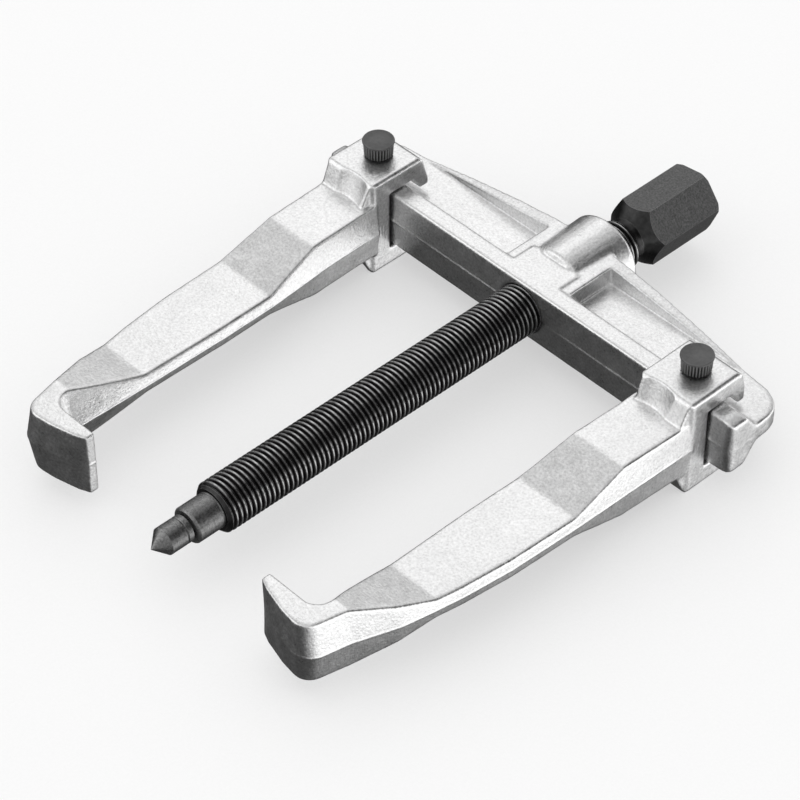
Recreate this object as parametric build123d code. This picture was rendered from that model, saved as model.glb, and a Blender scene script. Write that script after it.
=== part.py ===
from build123d import *
import os
from math import asin, cos, degrees, pi, radians, sin

# Two-arm gear puller, millimetres. The spindle runs along Y, its point is the origin and it pushes
# towards -Y. The crossbeam runs along X, the arms lie on the rail either side, and Z is up. Everything
# but the thumbscrews is the same above and below the plane Z = 0.

# Spindle, M14 x 1.5 with a 17 mm hexagon
THREAD_D = 14.0
HEX_AF = 17.0
HEX_CORNER_DEG = 8.0
NOSE_D = 10.0
NOSE_START = 11.3
THREAD_START = 19.4
THREAD_END = 162.2
NECK_D = 12.4
HEX_START = 166.5
HEX_END = 190.0
HEX_CHAMFER = 2.0
HEX_FACE_D = 16.2
HEX_REAR_CHAMFER = 0.8
HEX_REAR_D = 18.2
HEX_FLARE = 1.6

# Centre pin, its ball and its snap ring, all inside the spindle's nose
PIN_D = 7.5
POINT_LENGTH = 4.0
PIN_END = 10.9
PIN_GROOVE_Y = 9.0
STEM_D = 5.8
STEM_END = 22.3
BALL_D = 5.0
RING_Y = 18.5
RING_WIRE = 0.8
RING_SEAT_D = 4.7
SOCKET_D = 5.9
SOCKET_GROOVE_D = 7.4
SOCKET_GROOVE_W = 1.6

# Crossbeam
RAIL_FRONT = 124.5
RAIL_REAR = 130.0
RAIL_FOOT = 134.3
RAIL_H = 17.6
RAIL_DRAFT = 0.35
RAIL_EDGE = 0.5
RAIL_TRIM = 1.0
RAIL_TRIM_L = 3.0
RAIL_CORNER = 1.3
BEAM_HALF = 73.0
WEB_T = 6.0
POCKET_REAR = 146.0
POCKET_HALF = 11.4
RIB_H = 16.6
RIB_END = 58.0
BOSS_FRONT_D = 21.8
BOSS_D = 23.2
BOSS_START = 137.0
BOSS_END = 156.7
BORE_CLEARANCE = 0.05

# Arms: distances are from the spindle's axis at the rest spread
ARM_MID = 56.8
HEAD_W = 17.8
HEAD_FRONT = 117.3
HEAD_REAR = 135.6
HEAD_TOE = 114.7
SCOOP_X = 55.0
SCOOP_Y = 118.7
SCOOP_R = 14.4
SCOOP_DEPTH = 0.9
HEAD_H = 30.4
SLOT_FRONT = 123.9
SLOT_H = 18.6
LIP_H = 5.2
LIP_INNER = 135.0
LIP_OUTER = 138.6
ARM_THICK = 17.0
ARM_THIN = 6.4
CLAW_H = 19.2
TAPER_Y = (95.8, 78.5, 36.5, 15.0)
CLAW_FACE = 10.0
TIP_X = 31.9

# Thumbscrews, M6
SCREW_X = 57.0
SCREW_Y = 128.2
SCREW_D = 6.0
CAP_D = 8.7
CAP_T = 0.7
KNURL_D = 8.0
KNURL_DEPTH = 0.22
KNURL_TEETH = 30
HEAD_LIFT = 0.4
SCREW_TOP = 20.2
SCREW_TIP = 9.15


def along_y(profile):
    """Turn a closed list of (radius, y) points about the Y axis."""
    return revolve(make_face(Polyline(*[(r, y, 0) for r, y in profile], close=True)), Axis.Y)


def rod(d, y0, y1):
    """A plain round bar on the Y axis."""
    return along_y([(0, y0), (d / 2, y0), (d / 2, y1), (0, y1)])


def plate_x(points, x0, x1):
    """Extrude a closed list of (y, z) points from x0 to x1."""
    face = make_face(Polyline(*[(x0, y, z) for y, z in points], close=True))
    return extrude(face, amount=x1 - x0, dir=(1, 0, 0))


def mirrored(points):
    """Close a half outline of (a, b) points, b >= 0, with its reflection in b = 0."""
    return points + [(a, -b) for a, b in reversed(points) if b > 0]


def crossbeam():
    """Forged beam: a straight rail in front, a ribbed web behind it and a threaded boss."""
    half = RAIL_H / 2
    rail = plate_x(mirrored([
        (RAIL_FRONT, 0),
        (RAIL_FRONT + RAIL_DRAFT, half - RAIL_EDGE),
        (RAIL_FRONT + RAIL_DRAFT + RAIL_EDGE, half),
        (RAIL_REAR, half),
        (RAIL_FOOT, WEB_T / 2),
    ]), -BEAM_HALF, BEAM_HALF)

    # The rail's ends slope away at the top and bottom corners.
    end = [(BEAM_HALF - RAIL_TRIM_L, half), (BEAM_HALF, half - RAIL_TRIM)]
    end += [(x, -z) for x, z in reversed(end)]
    end += [(-x, z) for x, z in reversed(end)]
    trim = make_face(Polyline(*[(x, 0, z) for x, z in end], close=True))
    rail &= extrude(trim, amount=200, dir=(0, 1, 0))
    front = [(BEAM_HALF, RAIL_FOOT + 5), (BEAM_HALF, RAIL_FRONT + RAIL_CORNER),
             (BEAM_HALF - RAIL_CORNER, RAIL_FRONT)]
    front += [(-x, y) for x, y in reversed(front)]
    rail &= extrude(make_face(Polyline(*[(x, y, 0) for x, y in front], close=True)), amount=20, both=True)

    # Plan outline of the web, whose rear edge tapers towards rounded ends.
    outline = [(0, RAIL_REAR), (BEAM_HALF, RAIL_REAR), (BEAM_HALF - 0.5, 139.5), (71.6, 142.3),
               (69.4, 144.6), (66.0, 146.0), (41.0, 148.5), (25.0, 149.6), (0, 150.2)]
    outline += [(-x, y) for x, y in reversed(outline[1:-1])]
    web = extrude(make_face(Polyline(*[(x, y, 0) for x, y in outline], close=True)),
                  amount=RAIL_H / 2, both=True)
    slope = [(0, RIB_H / 2 + 0.4), (POCKET_HALF, RIB_H / 2), (RIB_END, WEB_T / 2), (BEAM_HALF, WEB_T / 2)]
    slope = [(-x, z) for x, z in reversed(slope[1:])] + slope
    side = make_face(Polyline(*[(x, 0, z) for x, z in slope + [(x, -z) for x, z in reversed(slope)]],
                              close=True))
    web &= extrude(side, amount=200, dir=(0, 1, 0))
    for sx in (-1, 1):
        for sz in (-1, 1):
            length = BEAM_HALF - POCKET_HALF + 2
            web -= Pos(sx * (POCKET_HALF + length / 2), (RAIL_FRONT + POCKET_REAR) / 2,
                       sz * (WEB_T / 2 + 5)) * Box(length, POCKET_REAR - RAIL_FRONT, 10)

    flat = Pos(0, (RAIL_REAR + BOSS_START) / 2, 0) * Box(16.4, BOSS_START - RAIL_REAR + 1, RAIL_H)
    boss = along_y([(0, BOSS_START), (BOSS_FRONT_D / 2 - 0.8, BOSS_START), (BOSS_FRONT_D / 2, BOSS_START + 0.8),
                    (BOSS_D / 2, BOSS_END - 1.2), (BOSS_D / 2 - 1.2, BOSS_END), (0, BOSS_END)])
    bore = THREAD_D / 2 + BORE_CLEARANCE
    beam = rail + web + flat + boss
    beam -= rod(2 * bore, RAIL_FRONT - 5, BOSS_END + 5)
    beam -= along_y([(0, RAIL_FRONT - 1), (bore + 1.3, RAIL_FRONT - 1), (bore, RAIL_FRONT + 0.6),
                     (0, RAIL_FRONT + 0.6)])
    beam -= along_y([(0, BOSS_END + 1), (bore + 1.7, BOSS_END + 1), (bore, BOSS_END - 0.7),
                     (0, BOSS_END - 0.7)])
    return beam


def arm_plan(z, corner_start, corner_middle, corner_end, tip, root_middle, root_end, sides):
    """Face at height z: round outer corner, claw tip, round inner root, then the shank's sides."""
    def at(points):
        return [(x, y, z) for x, y in points]

    corner = ThreePointArc(*at([corner_start, corner_middle, corner_end]))
    claw = Polyline(*at([corner_end] + tip))
    root = ThreePointArc(*at([tip[-1], root_middle, root_end]))
    shank = Polyline(*at([root_end] + sides + [corner_start]))
    return make_face(corner.edges() + claw.edges() + root.edges() + shank.edges())


def arm():
    """Right-hand sliding arm: a claw, a flat tapering shank and a clamp head that wraps the rail."""
    # Plan outlines at the parting plane and at the claw's top, edge for edge. Each starts where the
    # shank's outer side meets the claw's round corner.
    mid = arm_plan(
        0, (53.4, 6.9), (51.9, 4.0), (47.0, 2.5),
        [(42.2, 3.3), (38.0, 4.6), (34.8, 5.8), (TIP_X, 7.6), (TIP_X, CLAW_FACE), (41.6, CLAW_FACE)],
        (43.6, 11.0), (44.1, 14.8),
        [(44.0, 20.0), (43.8, 36.0), (43.8, 62.0), (44.2, 79.0), (45.2, 92.0), (45.9, 100.0),
         (46.4, 119.0), (65.9, 119.0), (65.4, 96.0), (65.1, 79.0), (64.2, 58.0), (62.6, 43.5),
         (61.3, 36.0), (59.4, 26.5), (55.1, 14.5)])
    up = arm_plan(
        CLAW_H / 2, (51.7, 7.1), (50.4, 4.8), (46.4, 3.5),
        [(42.0, 4.1), (38.0, 5.1), (34.9, 5.9), (TIP_X, 7.2), (TIP_X, CLAW_FACE), (44.6, CLAW_FACE)],
        (47.1, 11.6), (48.2, 15.2),
        [(47.6, 20.0), (46.6, 36.0), (46.2, 62.0), (46.6, 79.0), (47.0, 92.0), (47.3, 100.0),
         (47.9, 119.0), (65.0, 119.0), (64.0, 96.0), (63.8, 79.0), (62.8, 58.0), (61.0, 43.5),
         (59.6, 36.0), (57.6, 26.0), (53.4, 14.4)])
    shank = loft([mid, up], ruled=True)
    y1, y2, y3, y4 = TAPER_Y
    shank &= plate_x([(-5.0, 0), (125.0, 0), (125.0, ARM_THICK / 2), (y1, ARM_THICK / 2),
                      (y2, ARM_THIN / 2), (y3, ARM_THIN / 2), (y4, CLAW_H / 2), (-5.0, CLAW_H / 2)],
                     20, 80)
    shank += mirror(shank, about=Plane.XY)

    # Clamp head: a C-shaped section along the rail, chamfered in plan and from the front.
    top, toe, low, high = HEAD_H / 2, ARM_THICK / 2, ARM_MID - HEAD_W / 2, ARM_MID + HEAD_W / 2
    head = plate_x(mirrored([
        (SLOT_FRONT, SLOT_H / 2), (RAIL_REAR + 2.0, SLOT_H / 2), (LIP_INNER, LIP_H),
        (LIP_OUTER, LIP_H), (HEAD_REAR + 0.3, top - 1.0), (HEAD_REAR - 0.9, top), (HEAD_FRONT + 0.8, top),
        (HEAD_FRONT, top - 0.8), (HEAD_TOE, toe), (HEAD_TOE, toe - 1.0), (HEAD_FRONT, toe - 2.0),
    ]), low, high)
    plan = [(low, HEAD_FRONT + 1.2), (low + 1.0, HEAD_FRONT), (low + 1.2, HEAD_TOE),
            (high - 1.0, HEAD_TOE), (high - 0.8, HEAD_FRONT), (high, HEAD_FRONT + 1.2),
            (high, LIP_OUTER - 1.6), (high - 1.6, LIP_OUTER),
            (low + 1.0, LIP_OUTER), (low, LIP_OUTER - 1.0)]
    head &= extrude(make_face(Polyline(*[(x, y, 0) for x, y in plan], close=True)), amount=20, both=True)
    face = [(low, top - 0.8), (low + 0.8, top), (high - 0.8, top), (high, top - 0.8),
            (high, 0.8 - top), (high - 0.8, -top), (low + 0.8, -top), (low, 0.8 - top)]
    head &= extrude(make_face(Polyline(*[(x, 0, z) for x, z in face], close=True)), amount=200,
                    dir=(0, 1, 0))

    # A shallow scoop runs down the head's sloping front to the shank, above and below.
    reach = Vector(0, SCOOP_Y - HEAD_TOE - SCOOP_DEPTH, top - toe).normalized()
    scoop = Pos(SCOOP_X, SCOOP_Y - SCOOP_R * reach.Z, top + SCOOP_R * reach.Y) * \
        Rot(-degrees(asin(reach.Y)), 0, 0) * Cylinder(SCOOP_R, 60)
    scoop &= Pos(SCOOP_X, HEAD_FRONT, toe + 5) * Box(30, 40, 10)
    body = shank + head - scoop - mirror(scoop, about=Plane.XY)

    # Slot for the rail, and the thumbscrew's hole.
    body -= plate_x(mirrored([
        (SLOT_FRONT, SLOT_H / 2), (RAIL_REAR + 2.0, SLOT_H / 2), (LIP_INNER, LIP_H),
        (LIP_OUTER + 2.0, LIP_H),
    ]), low - 10, high + 10)
    body -= Pos(SCREW_X, SCREW_Y, top) * Cylinder(SCREW_D / 2 + BORE_CLEARANCE, 16)
    return body


def spindle():
    """Forcing screw: bored nose, threaded length, neck and chamfered hexagon."""
    screw = along_y([
        (0, NOSE_START), (NOSE_D / 2 - 0.6, NOSE_START), (NOSE_D / 2, NOSE_START + 0.6),
        (NOSE_D / 2, THREAD_START), (NOSE_D / 2 + 0.8, THREAD_START), (THREAD_D / 2, THREAD_START + 1.2),
        (THREAD_D / 2, THREAD_END), (NECK_D / 2, THREAD_END + 0.8), (NECK_D / 2, HEX_START - HEX_FLARE),
        (HEX_FACE_D / 2, HEX_START), (HEX_FACE_D / 2, HEX_START + 1), (0, HEX_START + 1)])
    corner = HEX_AF / 2 / cos(pi / 6)
    hexagon = make_face(Polyline(*[
        (corner * cos(radians(HEX_CORNER_DEG + 60 * k)), HEX_START,
         corner * sin(radians(HEX_CORNER_DEG + 60 * k))) for k in range(6)], close=True))
    head = extrude(hexagon, amount=HEX_END - HEX_START, dir=(0, 1, 0))
    head &= along_y([(0, HEX_START), (HEX_FACE_D / 2, HEX_START), (corner + 0.1, HEX_START + HEX_CHAMFER),
                     (corner + 0.1, HEX_END - HEX_REAR_CHAMFER), (HEX_REAR_D / 2, HEX_END), (0, HEX_END)])
    screw += head
    floor = STEM_END + 0.3 + BALL_D
    screw -= rod(SOCKET_D, NOSE_START - 1, floor)
    screw -= rod(SOCKET_GROOVE_D, RING_Y - SOCKET_GROOVE_W / 2, RING_Y + SOCKET_GROOVE_W / 2)
    return screw


def centre_pin():
    """Pointed pin that stays still on the shaft while the spindle turns round its stem."""
    half = RING_WIRE / 2
    return along_y([
        (0, 0), (PIN_D / 2, POINT_LENGTH), (PIN_D / 2, PIN_GROOVE_Y - 0.3),
        (PIN_D / 2 - 0.35, PIN_GROOVE_Y), (PIN_D / 2, PIN_GROOVE_Y + 0.3),
        (PIN_D / 2, PIN_END - 0.3), (PIN_D / 2 - 0.3, PIN_END), (STEM_D / 2, PIN_END),
        (STEM_D / 2, RING_Y - half), (RING_SEAT_D / 2, RING_Y - half),
        (RING_SEAT_D / 2, RING_Y + half), (STEM_D / 2, RING_Y + half),
        (STEM_D / 2, STEM_END - 0.4), (STEM_D / 2 - 0.4, STEM_END), (0, STEM_END)])


def snap_ring():
    """Split ring in the stem's groove that keeps the centre pin in the nose."""
    y0, y1 = RING_Y - RING_WIRE / 2, RING_Y + RING_WIRE / 2
    ring = rod(RING_SEAT_D + 2 * RING_WIRE, y0, y1) - rod(RING_SEAT_D, y0 - 1, y1 + 1)
    return ring - Pos(0, RING_Y, RING_SEAT_D / 2 + RING_WIRE / 2) * Box(1.2, 4, 4)


def thumbscrew():
    """M6 screw with a knurled barrel under a smooth cap."""
    lower = HEAD_H / 2 + HEAD_LIFT
    tip = SCREW_D / 2
    stem = revolve(make_face(Polyline(
        (0, 0, SCREW_TIP), (tip - 0.8, 0, SCREW_TIP), (tip, 0, SCREW_TIP + 0.8), (tip, 0, lower),
        (0, 0, lower), close=True)), Axis.Z)
    teeth = []
    for k in range(2 * KNURL_TEETH):
        r = KNURL_D / 2 - KNURL_DEPTH * (k % 2)
        teeth.append((r * cos(pi * k / KNURL_TEETH), r * sin(pi * k / KNURL_TEETH), lower))
    barrel = extrude(make_face(Polyline(*teeth, close=True)), amount=SCREW_TOP - CAP_T - lower)
    r, z = CAP_D / 2, SCREW_TOP
    cap = revolve(make_face(Polyline(
        (0, 0, z - CAP_T), (r - 0.2, 0, z - CAP_T), (r, 0, z - CAP_T + 0.2), (r, 0, z - 0.3),
        (r - 0.3, 0, z), (0, 0, z), close=True)), Axis.Z)
    return Pos(SCREW_X, SCREW_Y, 0) * (stem + barrel + cap)


right_arm = arm()
right_thumbscrew = thumbscrew()
parts = {
    "crossbeam": crossbeam(),
    "left_arm": mirror(right_arm, about=Plane.YZ),
    "right_arm": right_arm,
    "spindle": spindle(),
    "centre_pin": centre_pin(),
    "snap_ring": snap_ring(),
    "thrust_ball": Pos(0, STEM_END + 0.3 + BALL_D / 2, 0) * Sphere(BALL_D / 2),
    "left_thumbscrew": Pos(-2 * SCREW_X, 0, 0) * right_thumbscrew,
    "right_thumbscrew": right_thumbscrew,
}

os.makedirs("parts", exist_ok=True)
for name, solid in parts.items():
    export_step(solid, f"parts/{name}.step")
    box = solid.bounding_box()
    print(name, len(solid.solids()), round(solid.volume, 1), box.min, box.max)
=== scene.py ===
import math

import bmesh
import bpy
import numpy as np
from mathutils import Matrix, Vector, noise


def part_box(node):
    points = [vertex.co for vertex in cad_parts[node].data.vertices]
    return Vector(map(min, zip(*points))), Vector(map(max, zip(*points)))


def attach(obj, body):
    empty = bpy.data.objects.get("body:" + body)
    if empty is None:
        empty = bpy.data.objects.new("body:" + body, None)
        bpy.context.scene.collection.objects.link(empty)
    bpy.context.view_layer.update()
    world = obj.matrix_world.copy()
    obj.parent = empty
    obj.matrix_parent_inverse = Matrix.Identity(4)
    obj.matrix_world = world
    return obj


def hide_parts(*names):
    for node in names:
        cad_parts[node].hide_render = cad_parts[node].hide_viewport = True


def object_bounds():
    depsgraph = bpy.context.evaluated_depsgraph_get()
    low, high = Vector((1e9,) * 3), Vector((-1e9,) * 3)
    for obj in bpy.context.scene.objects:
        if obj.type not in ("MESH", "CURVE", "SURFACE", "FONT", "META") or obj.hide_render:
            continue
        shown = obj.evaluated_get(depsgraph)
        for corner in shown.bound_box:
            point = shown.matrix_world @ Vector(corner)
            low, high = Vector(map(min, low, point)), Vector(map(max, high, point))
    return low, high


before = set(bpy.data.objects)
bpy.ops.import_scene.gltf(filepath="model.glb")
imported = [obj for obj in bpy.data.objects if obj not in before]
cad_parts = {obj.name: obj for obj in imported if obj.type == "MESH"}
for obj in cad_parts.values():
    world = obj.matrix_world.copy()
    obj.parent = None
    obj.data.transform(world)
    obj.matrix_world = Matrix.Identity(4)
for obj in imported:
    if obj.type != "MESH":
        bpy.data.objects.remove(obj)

# Gear puller with two sliding arms. Metres throughout; MM turns millimetres into them. The spindle
# runs along Y with its point at the origin, the crossbeam runs along X, and the arms lie either side.
MM = 0.001
CAD_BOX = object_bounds()
FLOOR_Z = CAD_BOX[0].z

# Camera
CAMERA_AZIMUTH = 46.53
CAMERA_ELEVATION = 43.76
CAMERA_LENS = 149.1
CAMERA_SENSOR = 36.0
CAMERA_DISTANCE = 0.8512
CAMERA_AIM = Vector((-0.0088, 0.0903, -0.0161))

# Where the studio's softboxes and its dark card stand, as directions from the object
KEY_SIDE = Vector((-0.524, 0.497, 0.692))
FRONT_SIDE = Vector((-0.545, -0.796, 0.262))
DARK_SIDE = Vector((0.59, 0.50, 0.64))
SOFTBOX_DISTANCE = 1.0
KEY_SIZE, KEY_POWER = 0.5, 0.25
FRONT_SIZE, FRONT_POWER = 0.4, 0.1
DIFFUSE_LEVEL = 1.02
FLOOR_HALF_SIDE = 3.0

# Spindle: M14 x 1.5 screw, nose bored for the centre pin, chamfered 17 mm hexagon
PITCH = 1.5 * MM
THREAD_R = 7.0 * MM
ROOT_R = 6.12 * MM
TURN_SEGMENTS = 72
NOSE_R = 5.0 * MM
NOSE_CHAMFER = 0.6 * MM
THREAD_START = 19.4 * MM
THREAD_LEAD_IN = 1.2 * MM
THREAD_STEP = 0.8 * MM
THREAD_LEAD_OUT_SLOPE = 1.2
THREAD_END = 162.2 * MM
NECK_R = 6.2 * MM
HEX_START = 166.5 * MM
HEX_FLAT = 8.5 * MM
HEX_CORNER_ANGLE = math.radians(8.0)
HEX_CHAMFER = 2.0 * MM
HEX_FACE_R = 8.1 * MM
HEX_REAR_CHAMFER = 0.8 * MM
HEX_REAR_R = 9.1 * MM
HEX_FLARE = 1.6 * MM
HEX_SEGMENTS = 144
SOCKET_R = 2.95 * MM
SOCKET_GROOVE_R = 3.7 * MM
RING_Y = 18.5 * MM
SOCKET_GROOVE_W = 1.6 * MM
SOCKET_FLOOR = 27.6 * MM

# Thumbscrews
KNURL_TEETH = 30
COLUMNS_PER_TOOTH = 8
KNURL_DEPTH = 0.42 * MM
BARREL_BASE_R = 3.9 * MM
BARREL_TOP_R = 4.1 * MM
CAP_R = 4.35 * MM
CAP_T = 0.7 * MM
STEM_R = 3.0 * MM
SCREW_X, SCREW_Y, SCREW_TOP = 57.0 * MM, 128.2 * MM, 20.2 * MM
HEAD_TOP = 15.2 * MM
HEAD_LIFT = 0.4 * MM

# Edges that bend more than this many degrees are shaded sharp
SPINDLE_SHARP = 28
THUMBSCREW_SHARP = 40


# ---------------------------------------------------------------- meshes

def new_piece(name, bm, body, material, stands_for):
    """Turn a bmesh into a piece that rides on a CAD body and stands for one of its nodes."""
    mesh = bpy.data.meshes.new(name)
    bm.normal_update()
    bm.to_mesh(mesh)
    bm.free()
    mesh.materials.append(material)
    piece = bpy.data.objects.new(name, mesh)
    bpy.context.scene.collection.objects.link(piece)
    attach(piece, body)
    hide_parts(stands_for)
    return piece


def shade(bm, sharp_degrees):
    """Smooth every face and mark the edges that bend more than sharp_degrees as sharp."""
    bm.normal_update()
    limit = math.radians(sharp_degrees)
    for face in bm.faces:
        face.smooth = True
    for edge in bm.edges:
        edge.smooth = len(edge.link_faces) == 2 and edge.calc_face_angle(0) < limit


def skin_rings(bm, rings, close_start=False, close_end=False):
    """Join equally long closed rings of points into a skin, with optional end caps."""
    rows = [[bm.verts.new(p) for p in ring] for ring in rings]
    for low, high in zip(rows, rows[1:]):
        for j in range(len(low)):
            k = (j + 1) % len(low)
            bm.faces.new((low[j], low[k], high[k], high[j]))
    if close_start:
        bm.faces.new(list(reversed(rows[0])))
    if close_end:
        bm.faces.new(rows[-1])


def thread_radius(phase):
    """Radius of the rounded 60 degree thread at a phase of 0 to 1 along one pitch."""
    flank = min(max((abs(phase - 0.5) - 0.10) / 0.32, 0.0), 1.0)
    eased = flank * flank * (3 - 2 * flank) * 0.35 + flank * 0.65
    return THREAD_R - (THREAD_R - ROOT_R) * eased


def around_y(radius, angle, y):
    """Point at a radius and an angle about the Y axis, the angle running from a hexagon corner."""
    turned = math.pi / 2 - HEX_CORNER_ANGLE + angle
    return Vector((radius * math.sin(turned), y, radius * math.cos(turned)))


def thread_rings(bm):
    """Right-hand helical thread between THREAD_START and THREAD_END, closed onto nose and neck."""
    steps = (0.0, 0.09, 0.2, 0.3, 0.4, 0.5, 0.6, 0.7, 0.8, 0.91)
    turns = math.ceil((THREAD_END - THREAD_START) / PITCH) + 1
    starts = [THREAD_START + (turn - 1 + step) * PITCH for turn in range(turns + 1) for step in steps]

    def point(start, column):
        turned = column / TURN_SEGMENTS
        y = min(max(start + turned * PITCH, THREAD_START), THREAD_END)
        phase = ((y - THREAD_START) / PITCH - turned) % 1.0
        along = (y - THREAD_START) / THREAD_LEAD_IN
        lead_in = NOSE_R + THREAD_STEP + along * (THREAD_R - NOSE_R - THREAD_STEP)
        lead_out = NECK_R + (THREAD_END - y) * THREAD_LEAD_OUT_SLOPE
        radius = min(thread_radius(phase), lead_in, lead_out)
        return around_y(radius, 2 * math.pi * turned, y)

    rows = [[bm.verts.new(point(s, column)) for column in range(TURN_SEGMENTS + 1)] for s in starts]
    for low, high in zip(rows, rows[1:]):
        for j in range(TURN_SEGMENTS):
            bm.faces.new((low[j], low[j + 1], high[j + 1], high[j]))
    for y, radius in ((THREAD_START, NOSE_R), (THREAD_END, NECK_R)):
        inner = [around_y(radius, 2 * math.pi * j / TURN_SEGMENTS, y) for j in range(TURN_SEGMENTS)]
        row = rows[0] if y == THREAD_START else rows[-1]
        rim = [row[j].co.copy() for j in range(TURN_SEGMENTS)]
        skin_rings(bm, [inner, rim] if y == THREAD_START else [rim, inner])


def lathe(bm, profile, segments=TURN_SEGMENTS, **caps):
    """Turn a list of (radius, y) about the Y axis."""
    skin_rings(bm, [[around_y(r, 2 * math.pi * j / segments, y) for j in range(segments)]
                    for r, y in profile], **caps)


def hexagon(bm, hex_end):
    """Hexagon whose corners are cut by a steep cone in front and a small one at the rear."""
    angles = [2 * math.pi * j / HEX_SEGMENTS for j in range(HEX_SEGMENTS)]
    corner = HEX_FLAT / math.cos(math.pi / 6)
    radii = [HEX_FLAT / math.cos(a % (math.pi / 3) - math.pi / 6) for a in angles]

    def end(face_radius, face_y, chamfer):
        """Ring round the end face, then the line where its cone meets the flats."""
        slope = chamfer / (corner - face_radius)
        return ([around_y(min(r, face_radius), a, face_y) for a, r in zip(angles, radii)],
                [around_y(r, a, face_y + max(r - face_radius, 0) * slope) for a, r in zip(angles, radii)])

    front_face, front = end(HEX_FACE_R, HEX_START, HEX_CHAMFER)
    rear_face, rear = end(HEX_REAR_R, hex_end, -HEX_REAR_CHAMFER)
    skin_rings(bm, [front_face, front, rear, rear_face], close_end=True)


def spindle_mesh():
    """The whole screw: bored nose, helical thread, neck and hexagon."""
    nose_start, hex_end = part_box("spindle")[0].y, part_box("spindle")[1].y
    groove = SOCKET_GROOVE_W / 2
    bm = bmesh.new()
    lathe(bm, [(SOCKET_R, SOCKET_FLOOR), (SOCKET_R, RING_Y + groove), (SOCKET_GROOVE_R, RING_Y + groove),
               (SOCKET_GROOVE_R, RING_Y - groove), (SOCKET_R, RING_Y - groove),
               (SOCKET_R, nose_start + 0.3 * MM), (SOCKET_R + 0.3 * MM, nose_start),
               (NOSE_R - NOSE_CHAMFER, nose_start), (NOSE_R - 0.15 * MM, nose_start + 0.35 * MM),
               (NOSE_R, nose_start + NOSE_CHAMFER), (NOSE_R, THREAD_START - 0.5 * MM),
               (NOSE_R - 0.25 * MM, THREAD_START - 0.3 * MM), (NOSE_R, THREAD_START)], close_start=True)
    thread_rings(bm)
    lathe(bm, [(NECK_R, THREAD_END), (NECK_R - 0.25 * MM, THREAD_END + 0.5 * MM),
               (NECK_R - 0.25 * MM, HEX_START - HEX_FLARE - 0.4 * MM), (NECK_R, HEX_START - HEX_FLARE),
               (HEX_FACE_R, HEX_START)], segments=HEX_SEGMENTS)
    hexagon(bm, hex_end)
    bmesh.ops.remove_doubles(bm, verts=bm.verts, dist=1e-7)
    bmesh.ops.dissolve_degenerate(bm, dist=1e-7, edges=bm.edges)
    bmesh.ops.recalc_face_normals(bm, faces=bm.faces)
    return bm


def thumbscrew_mesh(node):
    """Fluted barrel under a smooth cap, on an M6 stem."""
    low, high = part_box(node)
    x, y = (low.x + high.x) / 2, (low.y + high.y) / 2
    base, cap = HEAD_TOP + HEAD_LIFT, high.z - CAP_T
    columns = KNURL_TEETH * COLUMNS_PER_TOOTH
    profile = [
        (STEM_R - 0.8 * MM, low.z, 0), (STEM_R, low.z + 0.8 * MM, 0), (STEM_R, base, 0),
        (BARREL_BASE_R - 0.5 * MM, base, 0), (BARREL_BASE_R - 0.15 * MM, base + 0.12 * MM, 0.6)]
    profile += [(BARREL_BASE_R + step * (BARREL_TOP_R - BARREL_BASE_R), base + step * (cap - base), 1)
                for step in (0.08, 0.3, 0.5, 0.7, 0.9)]
    profile += [
        (BARREL_TOP_R, cap, 0.8), (CAP_R, cap + 0.2 * MM, 0.1), (CAP_R, high.z - 0.3 * MM, 0),
        (CAP_R - 0.08 * MM, high.z - 0.12 * MM, 0), (CAP_R - 0.22 * MM, high.z, 0),
        (CAP_R - 0.45 * MM, high.z, 0), (CAP_R - 0.6 * MM, high.z - 0.08 * MM, 0)]
    rings = []
    for radius, z, depth in profile:
        ring = []
        for j in range(columns):
            angle = 2 * math.pi * j / columns
            flute = 1 - abs(math.cos(KNURL_TEETH * angle / 2)) ** 1.5
            r = radius - KNURL_DEPTH * depth * flute
            ring.append((x + r * math.cos(angle), y + r * math.sin(angle), z))
        rings.append(ring)
    bm = bmesh.new()
    skin_rings(bm, rings, close_start=True, close_end=True)
    bmesh.ops.recalc_face_normals(bm, faces=bm.faces)
    return bm


# ---------------------------------------------------------------- forged pieces

VOXEL = 0.28 * MM
EVEN_ROUNDS = 6
ROUNDING_ROUNDS = 22
RIDGE_HALF_WIDTH = 0.32 * MM
RIDGE_HEIGHT = 0.11 * MM
WAVE_SIZE = 5.0 * MM
WAVE_DEPTH = 0.07 * MM


def dense_copy(node):
    """Even, finely divided copy of a CAD node's mesh."""
    rough = bpy.data.objects.new(node + "_rough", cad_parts[node].data.copy())
    bpy.context.scene.collection.objects.link(rough)
    rough.modifiers.new("Weld", "WELD").merge_threshold = 0.001 * MM
    remesh = rough.modifiers.new("Voxels", "REMESH")
    remesh.mode = "VOXEL"
    remesh.voxel_size = VOXEL
    graph = bpy.context.evaluated_depsgraph_get()
    mesh = bpy.data.meshes.new_from_object(rough.evaluated_get(graph))
    bpy.data.objects.remove(rough)
    return mesh


def relax(points, edges, share, rounds):
    """Draw every point towards the middle of its neighbours, by its own share."""
    count = len(points)
    degree = np.bincount(edges.ravel(), minlength=count)[:, None]
    for _ in range(rounds):
        middle = np.empty_like(points)
        for axis in range(3):
            middle[:, axis] = (np.bincount(edges[:, 0], points[edges[:, 1], axis], count)
                               + np.bincount(edges[:, 1], points[edges[:, 0], axis], count))
        points += share[:, None] * (middle / degree - points)
    return points


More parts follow.
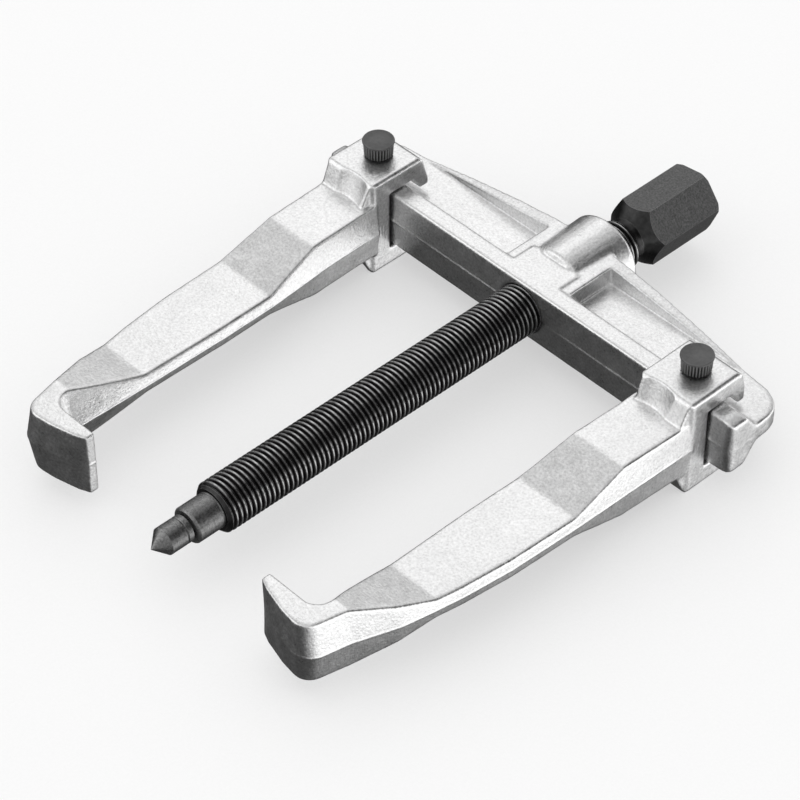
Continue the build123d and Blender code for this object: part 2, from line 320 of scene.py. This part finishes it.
def forge(node, body, rounding, ridge):
    """Piece with a forging's rounded corners, slight waviness and a raised parting line."""
    mesh = dense_copy(node)
    count = len(mesh.vertices)
    points = np.empty(count * 3)
    mesh.vertices.foreach_get("co", points)
    points = points.reshape(-1, 3)
    edges = np.empty(len(mesh.edges) * 2, int)
    mesh.edges.foreach_get("vertices", edges)
    edges = edges.reshape(-1, 2)
    points = relax(points, edges, np.full(count, 0.5), EVEN_ROUNDS)
    points = relax(points, edges, 0.5 * rounding(points), ROUNDING_ROUNDS)
    mesh.vertices.foreach_set("co", points.ravel())
    mesh.update()
    normals = np.empty(count * 3)
    mesh.vertex_normals.foreach_get("vector", normals)
    normals = normals.reshape(-1, 3)
    line = np.exp(-(points[:, 2] / RIDGE_HALF_WIDTH) ** 2) * (1 - np.abs(normals[:, 2])) * ridge(points)
    wave = np.array([noise.noise(Vector(p) / WAVE_SIZE) for p in points])
    lift = RIDGE_HEIGHT * line - WAVE_DEPTH * (0.5 + 0.5 * wave)
    mesh.vertices.foreach_set("co", (points + normals * lift[:, None]).ravel())
    mesh.update()
    mesh.shade_smooth()
    mesh.materials.clear()
    mesh.materials.append(forging)
    piece = bpy.data.objects.new(node + "_forging", mesh)
    bpy.context.scene.collection.objects.link(piece)
    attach(piece, body)
    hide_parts(node)


def fade(value, start, end):
    """0 at start, 1 at end, straight between."""
    return np.clip((value - start) / (end - start), 0, 1)


def arm_rounding(points):
    """The shank is rounder than the clamp head, and the claw lies between."""
    return fade(points[:, 1], 116 * MM, 112 * MM) * (0.35 + 0.3 * fade(points[:, 1], 14 * MM, 26 * MM))


def arm_ridge(points):
    """The parting line runs round the shank and outer corner, and is faint on the claw's front."""
    claw_front = fade(points[:, 1], 9 * MM, 7 * MM) * fade(np.abs(points[:, 0]), 50 * MM, 46 * MM)
    return fade(points[:, 1], 115 * MM, 113 * MM) * (1 - 0.9 * claw_front)


def beam_rounding(points):
    """The rail's ends are well rounded, the rest only a little."""
    return 0.1 + 0.9 * fade(np.abs(points[:, 0]), 66 * MM, 69 * MM)


def beam_ridge(points):
    """The parting line shows along the rail's front and the boss, not at the ends or in the bore."""
    along = np.abs(points[:, 0])
    return 1.6 * fade(along, 71.5 * MM, 70 * MM) * fade(along, 8 * MM, 9 * MM)


# ---------------------------------------------------------------- materials

# Between these two values a noise texture spends most of its time
NOISE_LOW, NOISE_HIGH = 0.3, 0.7


class Nodes:
    """Short calls for building a material's node tree."""

    def __init__(self, name, world=None):
        self.owner = world or bpy.data.materials.new(name)
        self.owner.use_nodes = True
        self.tree = self.owner.node_tree
        self.tree.nodes.clear()

    def add(self, kind, inputs=None, **settings):
        node = self.tree.nodes.new(kind)
        for key, value in settings.items():
            setattr(node, key, value)
        for key, value in (inputs or {}).items():
            if isinstance(value, bpy.types.NodeSocket):
                self.tree.links.new(value, node.inputs[key])
            else:
                node.inputs[key].default_value = value
        return node

    def coords(self):
        return self.add("ShaderNodeTexCoord").outputs["Object"]

    def noise(self, vector, scale, detail=3.0, rough=0.55):
        made = self.add("ShaderNodeTexNoise", {"Vector": vector, "Scale": scale, "Detail": detail,
                                               "Roughness": rough})
        return made.outputs["Fac"]

    def stretch(self, vector, scale):
        return self.add("ShaderNodeMapping", {"Vector": vector, "Scale": scale}).outputs["Vector"]

    def spread(self, value, low, high, to_low, to_high):
        made = self.add("ShaderNodeMapRange", {"Value": value, "From Min": low, "From Max": high,
                                               "To Min": to_low, "To Max": to_high})
        return made.outputs["Result"]

    def vary(self, noise, low, high):
        """Turn a noise's usual range into the range from low to high."""
        return self.spread(noise, NOISE_LOW, NOISE_HIGH, low, high)

    def math(self, operation, a, b=0.0):
        return self.add("ShaderNodeMath", {0: a, 1: b}, operation=operation).outputs["Value"]

    def grey(self, value):
        made = self.add("ShaderNodeCombineColor", {"Red": value, "Green": value, "Blue": value})
        return made.outputs["Color"]

    def patch(self, towards, centre, outer, inner, strength):
        """A soft round patch of surroundings about a direction."""
        return self.spread(self.dot(towards, tuple(centre.normalized())), outer, inner, 0.0, strength)

    def dot(self, a, b):
        return self.add("ShaderNodeVectorMath", {0: a, 1: b}, operation="DOT_PRODUCT").outputs["Value"]

    def from_axis(self, a, b):
        """Distance from the axis where coordinates a and b are both 0."""
        return self.math("SQRT", self.math("ADD", self.math("MULTIPLY", a, a), self.math("MULTIPLY", b, b)))

    def edge_mask(self, radius):
        """Near 1 along convex and concave edges, 0 on flats."""
        rounded = self.add("ShaderNodeBevel", {"Radius": radius}, samples=6).outputs["Normal"]
        true = self.add("ShaderNodeNewGeometry").outputs["Normal"]
        return self.spread(self.dot(rounded, true), 1.0, 0.93, 0.0, 1.0)

    def bump(self, height, distance, strength=1.0, normal=None):
        inputs = {"Height": height, "Distance": distance, "Strength": strength}
        if normal is not None:
            inputs["Normal"] = normal
        return self.add("ShaderNodeBump", inputs).outputs["Normal"]

    def metal(self, colour, roughness, normal, metallic=1.0):
        shader = self.add("ShaderNodeBsdfPrincipled", {"Base Color": colour, "Roughness": roughness,
                                                       "Metallic": metallic, "Normal": normal})
        self.add("ShaderNodeOutputMaterial", {"Surface": shader.outputs["BSDF"]})
        return self.owner


def plated_forging():
    """Bright zinc plating over a shot-blasted forging: fine grain, soft mottling, and edges painted darker,
    with painted shade in the creases.
    """
    n = Nodes("plated_forging")
    at = n.coords()
    grain = n.noise(at, 1500, 3.0, 0.65)
    patches = n.noise(at, 260, 4.0)
    broad = n.noise(at, 60, 2.0)
    edge = n.edge_mask(0.5 * MM)
    facing = n.add("ShaderNodeSeparateXYZ", {0: n.add("ShaderNodeNewGeometry").outputs["Normal"]})
    height = n.add("ShaderNodeSeparateXYZ", {0: at}).outputs["Z"]
    side = n.spread(n.math("ABSOLUTE", facing.outputs["Z"]), 0.5, 0.3, 0.0, 1.0)
    outward = n.spread(n.math("ABSOLUTE", facing.outputs["X"]), 0.6, 0.85, 0.0, 1.0)
    trimmed = n.math("MULTIPLY", side, n.spread(height, 0.4 * MM, -0.4 * MM, 0.1, 1.0))
    trimmed = n.math("MULTIPLY", trimmed, outward)
    tears = n.noise(n.stretch(at, (2300, 2300, 160)), 1.0, 2.0)
    tone = n.vary(grain, 0.62, 0.93)
    tone = n.math("MULTIPLY", tone, n.vary(patches, 0.92, 1.05))
    tone = n.math("MULTIPLY", tone, n.vary(broad, 0.96, 1.03))
    # Darker along the edges, and painted shade in the creases
    tone = n.math("MULTIPLY", tone, n.spread(edge, 0.0, 1.0, 1.0, 0.80))
    rough = n.math("ADD", n.vary(grain, 0.28, 0.36), n.vary(patches, -0.03, 0.05))
    dents = n.bump(patches, 0.12 * MM, 0.5)
    torn = n.bump(n.math("MULTIPLY", tears, trimmed), 0.12 * MM, 0.55, dents)
    skin = n.bump(grain, 0.095 * MM, 0.95, torn)
    return n.metal(n.grey(tone), rough, skin)


def black_oxide():
    """Black oxide: oily on the thread, whose crests carry wear and a painted highlight, satin on the nose,
    pin and hexagon.
    """
    n = Nodes("black_oxide_steel")
    at = n.coords()
    place = n.add("ShaderNodeSeparateXYZ", {0: at}).outputs
    facing = n.add("ShaderNodeSeparateXYZ", {0: n.add("ShaderNodeNewGeometry").outputs["Normal"]})
    radius = n.from_axis(place["X"], place["Z"])
    threaded = n.math("MULTIPLY", n.spread(place["Y"], THREAD_START, THREAD_START + 0.2 * MM, 0.0, 1.0),
                      n.spread(place["Y"], THREAD_END + 0.2 * MM, THREAD_END, 0.0, 1.0))
    crest = n.math("MULTIPLY", threaded, n.spread(radius, THREAD_R - 0.3 * MM, THREAD_R, 0.0, 1.0))
    plain = n.spread(place["Y"], THREAD_START, THREAD_START - 0.2 * MM, 0.0, 1.0)
    lengthwise = n.spread(n.math("ABSOLUTE", facing.outputs["Y"]), 0.15, 0.3, 1.0, 0.0)
    flat = n.math("MULTIPLY", lengthwise, n.spread(place["Y"], HEX_START, HEX_START + 0.5 * MM, 0.0, 1.0))
    turned = n.noise(n.stretch(at, (300, 6000, 300)), 1.0, 2.0)
    film = n.noise(at, 700, 4.0)
    scale = n.noise(at, 1900, 4.0, 0.7)
    edge = n.edge_mask(0.25 * MM)
    speckle = n.spread(scale, 0.35, 0.7, 0.6, 1.7)
    tone = n.math("ADD", n.vary(film, 0.022, 0.045), n.spread(edge, 0.0, 1.0, 0.0, 0.10))
    # Lighter thread crests: wear and a painted highlight
    tone = n.math("ADD", tone, n.math("MULTIPLY", crest, n.vary(film, 0.14, 0.36)))
    tone = n.math("ADD", tone, n.math("MULTIPLY", plain, n.math("MULTIPLY", speckle, 0.14)))
    tone = n.math("ADD", tone, n.math("MULTIPLY", flat, n.math("MULTIPLY", speckle, 0.085)))
    rough = n.math("ADD", n.vary(film, 0.14, 0.22), n.vary(turned, -0.02, 0.03))
    rough = n.math("ADD", rough, n.math("MULTIPLY", flat, 0.32))
    rough = n.math("ADD", rough, n.math("MULTIPLY", plain, 0.10))
    matt = n.math("ADD", 0.15, n.math("MULTIPLY", n.math("MAXIMUM", plain, flat), 0.6))
    skin = n.bump(turned, 0.01 * MM, 0.5, n.bump(n.math("MULTIPLY", scale, matt), 0.07 * MM, 0.8))
    return n.metal(n.grey(tone), rough, skin, 0.85)


def blackened_screw():
    """Satin black thumbscrew, with painted shade in the flutes, lighter along their crests and a painted
    highlight on its edges.
    """
    n = Nodes("blackened_screw_steel")
    at = n.coords()
    place = n.add("ShaderNodeSeparateXYZ", {0: at}).outputs
    radius = n.from_axis(n.math("SUBTRACT", n.math("ABSOLUTE", place["X"]), SCREW_X),
                         n.math("SUBTRACT", place["Y"], SCREW_Y))
    fluted = n.spread(place["Z"], SCREW_TOP - CAP_T + 0.1 * MM, SCREW_TOP - CAP_T - 0.1 * MM, 0.0, 1.0)
    # Painted shade down in the flute valleys, rising to a lighter tone along the crests
    crest = n.spread(radius, BARREL_BASE_R - 0.25 * MM, BARREL_BASE_R + 0.1 * MM, -0.075, 0.10)
    film = n.noise(at, 900, 4.0)
    edge = n.edge_mask(0.2 * MM)
    # Painted highlight: the edges are painted a little lighter
    tone = n.math("ADD", n.vary(film, 0.09, 0.13), n.spread(edge, 0.0, 1.0, 0.0, 0.05))
    tone = n.math("ADD", tone, n.math("MULTIPLY", fluted, crest))
    rough = n.vary(film, 0.38, 0.50)
    return n.metal(n.grey(tone), rough, n.bump(film, 0.03 * MM, 0.5), 0.7)


def spring_steel():
    """Bright drawn wire and ball steel."""
    n = Nodes("bright_spring_steel")
    at = n.coords()
    drawn = n.noise(at, 2500, 3.0)
    tone = n.vary(drawn, 0.45, 0.6)
    rough = n.vary(drawn, 0.18, 0.3)
    return n.metal(n.grey(tone), rough, n.bump(drawn, 0.01 * MM, 0.4))


def pale_floor():
    """Matt pale paper with a faint glow of its own, so that the shadows on it stay light."""
    n = Nodes("pale_paper")
    fibre = n.noise(n.coords(), 1500, 3.0)
    shader = n.add("ShaderNodeBsdfPrincipled", {"Base Color": n.grey(n.vary(fibre, 0.48, 0.5)),
                                                "Roughness": 0.9, "Specular IOR Level": 0.2,
                                                "Emission Color": (1.0, 1.0, 1.0, 1.0),
                                                "Emission Strength": 0.46})
    n.add("ShaderNodeOutputMaterial", {"Surface": shader.outputs["BSDF"]})
    return n.owner


# ---------------------------------------------------------------- stage

def studio_world():
    """Studio surroundings: even for diffuse light, and uneven for reflections.

    Reflections see a bright upper half with a brighter key patch and a darker card, and below it a
    lower half that is dark on the left and bright on the right. All of it is fixed to the room.
    """
    world = bpy.data.worlds.new("studio")
    bpy.context.scene.world = world
    n = Nodes("studio", world)
    towards = n.add("ShaderNodeTexCoord").outputs["Generated"]
    level = n.add("ShaderNodeSeparateXYZ", {0: towards}).outputs["Z"]
    rightward = n.dot(towards, (0.8, 0.4, 0.6))
    below = n.math("ADD", n.spread(rightward, -0.24, -0.1, 0.06, 0.38),
                   n.spread(rightward, 0.10, 0.5, 0.0, 1.4))
    above = n.math("ADD", 0.72, n.patch(towards, KEY_SIDE, 0.93, 0.98, 0.40))
    above = n.math("SUBTRACT", above, n.patch(towards, DARK_SIDE, 0.82, 0.95, 0.69))
    walls = n.add("ShaderNodeMix", {0: n.spread(level, 0.0, 0.25, 0.0, 1.0), 2: below, 3: above})
    reflected = n.math("ADD", walls.outputs[0], n.patch(towards, FRONT_SIDE, 0.80, 0.93, 0.75))
    matt = n.add("ShaderNodeLightPath").outputs["Is Diffuse Ray"]
    total = n.add("ShaderNodeMix", {0: matt, 2: reflected, 3: DIFFUSE_LEVEL}).outputs[0]
    background = n.add("ShaderNodeBackground", {"Color": n.grey(total), "Strength": 1.0})
    n.add("ShaderNodeOutputWorld", {"Surface": background.outputs["Background"]})


def area_light(name, place, aim, size, power):
    """Round softbox at a place, turned towards a point."""
    light = bpy.data.lights.new(name, "AREA")
    light.shape = "DISK"
    light.size = size
    light.energy = power
    holder = bpy.data.objects.new(name, light)
    bpy.context.scene.collection.objects.link(holder)
    holder.location = place
    holder.rotation_mode = "QUATERNION"
    holder.rotation_quaternion = (aim - place).to_track_quat("-Z", "Y")


def set_camera():
    """Camera on a line from its aim, at the azimuth and elevation given above."""
    camera = bpy.data.objects.new("camera", bpy.data.cameras.new("camera"))
    bpy.context.scene.collection.objects.link(camera)
    azimuth, elevation = math.radians(CAMERA_AZIMUTH), math.radians(CAMERA_ELEVATION)
    back = Vector((math.sin(azimuth) * math.cos(elevation), -math.cos(azimuth) * math.cos(elevation),
                   math.sin(elevation)))
    camera.location = CAMERA_AIM + back * CAMERA_DISTANCE
    camera.rotation_mode = "QUATERNION"
    camera.rotation_quaternion = (-back).to_track_quat("-Z", "Y")
    camera.data.sensor_width = CAMERA_SENSOR
    camera.data.lens = CAMERA_LENS
    camera.data.clip_start, camera.data.clip_end = 0.05, 20
    bpy.context.scene.camera = camera


def set_floor():
    """Flat floor under the puller, left out of reflections."""
    mesh = bpy.data.meshes.new("floor")
    corners = [(-1, -1), (1, -1), (1, 1), (-1, 1)]
    mesh.from_pydata([(x * FLOOR_HALF_SIDE, y * FLOOR_HALF_SIDE, FLOOR_Z) for x, y in corners],
                     [], [(0, 1, 2, 3)])
    mesh.materials.append(pale_floor())
    floor = bpy.data.objects.new("floor", mesh)
    bpy.context.scene.collection.objects.link(floor)
    floor.visible_glossy = False


# ---------------------------------------------------------------- build

forging, oxide, screw_finish, spring = plated_forging(), black_oxide(), blackened_screw(), spring_steel()

forge("left_arm", "left_jaw", arm_rounding, arm_ridge)
forge("right_arm", "right_jaw", arm_rounding, arm_ridge)
forge("crossbeam", "beam", beam_rounding, beam_ridge)

bm = spindle_mesh()
shade(bm, SPINDLE_SHARP)
new_piece("threaded_spindle", bm, "screw", oxide, "spindle")

for side in ("left", "right"):
    bm = thumbscrew_mesh(side + "_thumbscrew")
    shade(bm, THUMBSCREW_SHARP)
    new_piece(side + "_knurled_screw", bm, side + "_lock", screw_finish,
              side + "_thumbscrew")

for node, material in (("centre_pin", oxide), ("snap_ring", spring), ("thrust_ball", spring)):
    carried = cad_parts[node]
    for slot in carried.material_slots:
        slot.material = material

set_camera()
set_floor()
studio_world()
centre = (CAD_BOX[0] + CAD_BOX[1]) / 2
area_light("key_softbox", centre + KEY_SIDE * SOFTBOX_DISTANCE, centre, KEY_SIZE, KEY_POWER)
area_light("front_softbox", centre + FRONT_SIDE * SOFTBOX_DISTANCE, centre, FRONT_SIZE, FRONT_POWER)

bpy.context.scene.view_settings.view_transform = "Standard"
bpy.context.scene.view_settings.look = "None"
